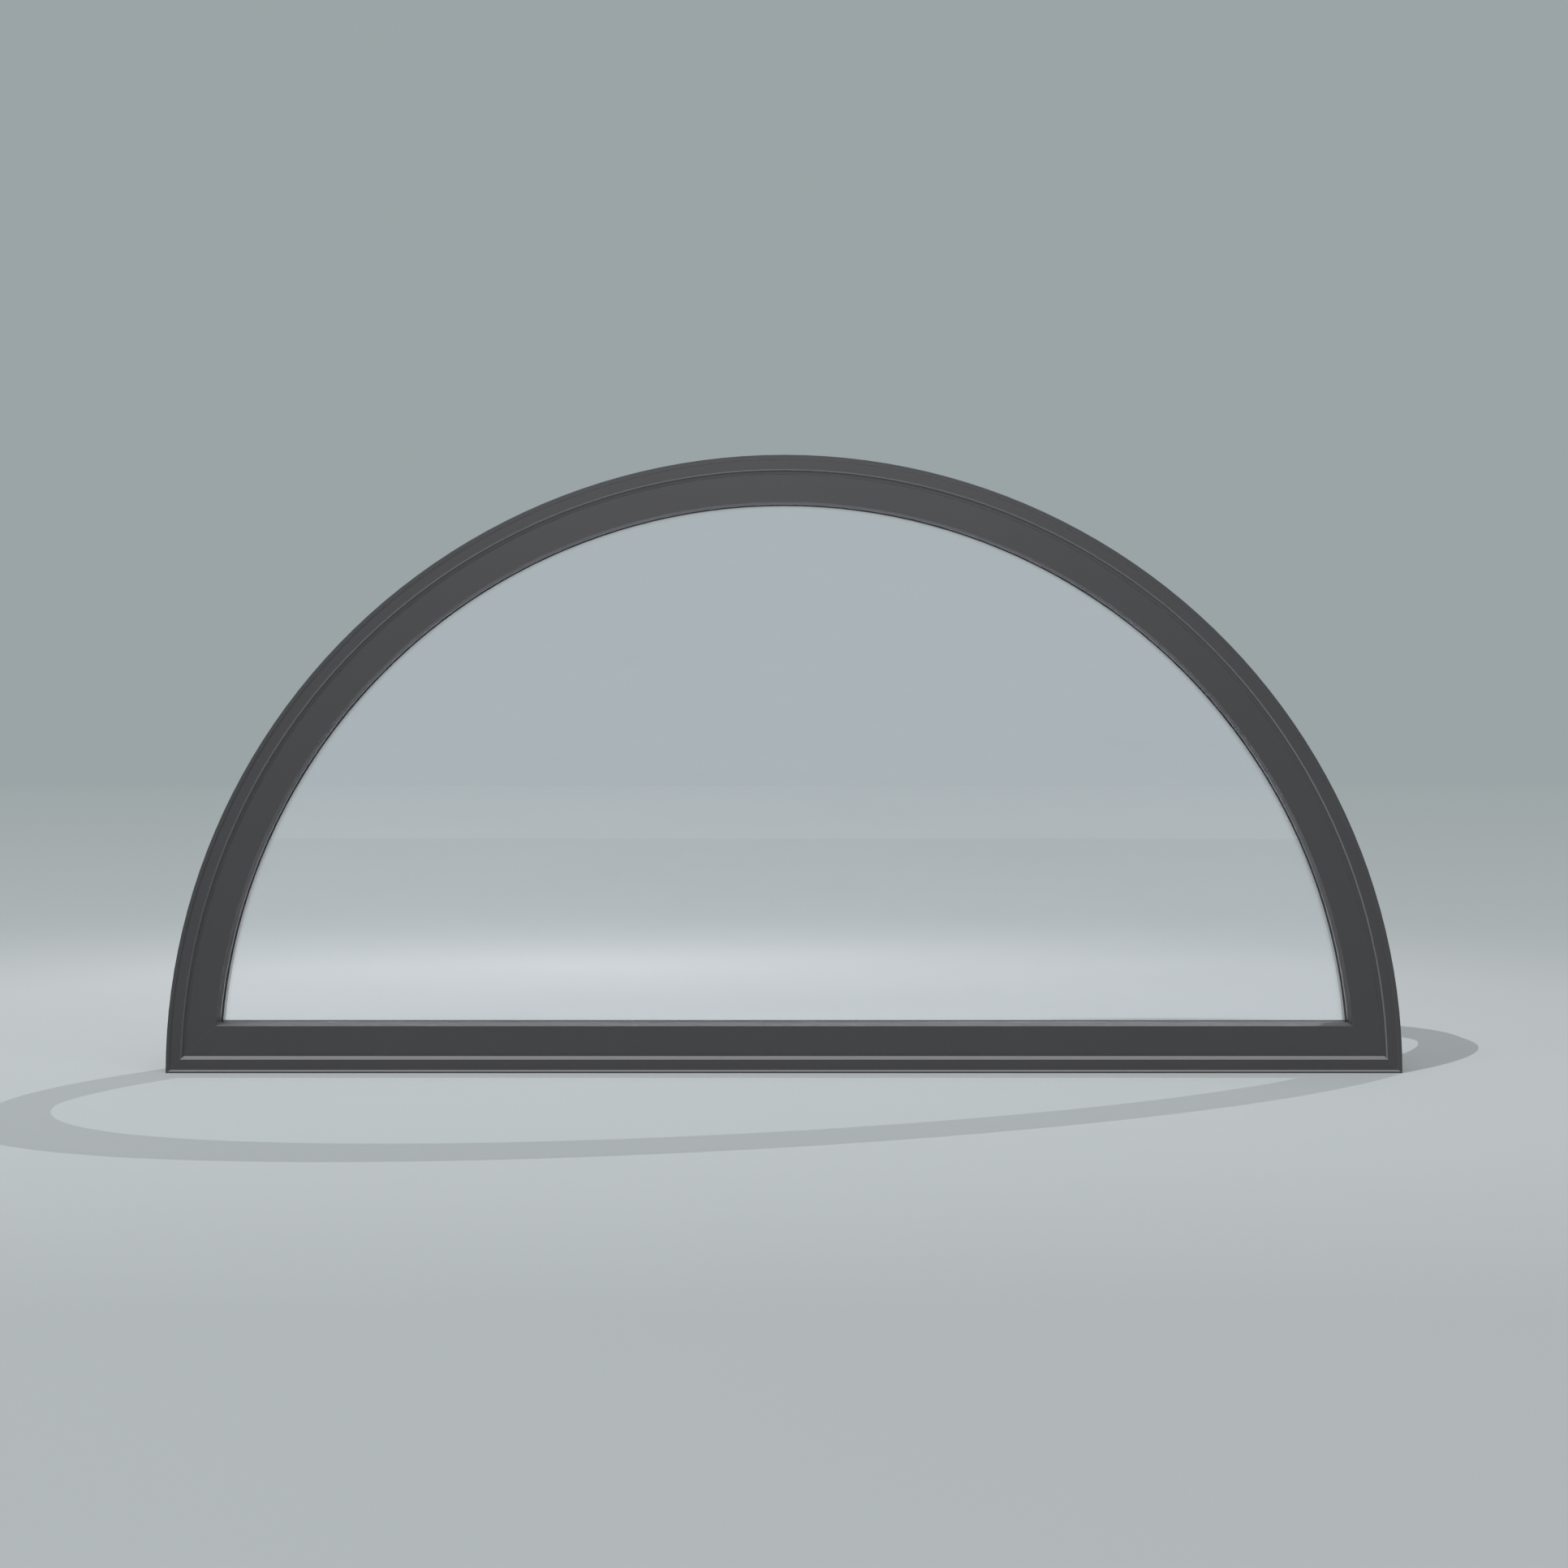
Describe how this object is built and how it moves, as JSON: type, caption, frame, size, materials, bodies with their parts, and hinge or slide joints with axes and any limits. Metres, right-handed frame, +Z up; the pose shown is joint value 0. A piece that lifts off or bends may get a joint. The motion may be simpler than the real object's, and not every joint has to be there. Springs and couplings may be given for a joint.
{
  "type": "half-round fixed window",
  "caption": "Fixed half-round window with a bent arch on a straight sill, a stepped frame and sash face, deep glazing returns and sealed double glazing.",
  "frame": {"origin": "middle of the sill's underside, halfway between the outdoor face and the room face", "axes": "+X along the sill to the right as seen from outdoors, +Y from outdoors to the room, +Z up"},
  "size_m": [1.8288, 0.0636, 0.9144],
  "materials": {
    "painted_aluminium": "satin dark bronze-grey powder coat",
    "break_plastic": "glass-filled polyamide, matte black",
    "gasket_rubber": "matte black rubber",
    "tinted_glass": "clear, coated, faint blue-grey cast",
    "clear_glass": "clear",
    "spacer_metal": "dark coated warm-edge spacer",
    "sealant": "dark grey sealant",
    "block_plastic": "matte dark plastic"
  },
  "bodies": {
    "root": {"frame_arch_left_front": "painted_aluminium", "frame_arch_right_front": "painted_aluminium", "frame_arch_left_back": "painted_aluminium", "frame_arch_right_back": "painted_aluminium", "sash_arch_left_front": "painted_aluminium", "sash_arch_right_front": "painted_aluminium", "sash_arch_left_back": "painted_aluminium", "sash_arch_right_back": "painted_aluminium", "frame_sill_front": "painted_aluminium", "frame_sill_back": "painted_aluminium", "sash_rail_front": "painted_aluminium", "sash_rail_back": "painted_aluminium", "glazing_arch_left_bead": "painted_aluminium", "glazing_arch_right_bead": "painted_aluminium", "glazing_rail_bead": "painted_aluminium", "frame_arch_left_break": "break_plastic", "frame_arch_right_break": "break_plastic", "sash_arch_left_break": "break_plastic", "sash_arch_right_break": "break_plastic", "frame_sill_break": "break_plastic", "sash_rail_break": "break_plastic", "outdoor_gasket_arch": "gasket_rubber", "outdoor_gasket_rail": "gasket_rubber", "room_gasket_arch": "gasket_rubber", "room_gasket_rail": "gasket_rubber", "weather_seal_arch": "gasket_rubber", "weather_seal_sill": "gasket_rubber", "room_seal_arch": "gasket_rubber", "room_seal_sill": "gasket_rubber", "outer_pane": "tinted_glass", "inner_pane": "clear_glass", "spacer_bar": "spacer_metal", "edge_seal": "sealant", "setting_blocks": "block_plastic"}
  },
  "joints": []
}
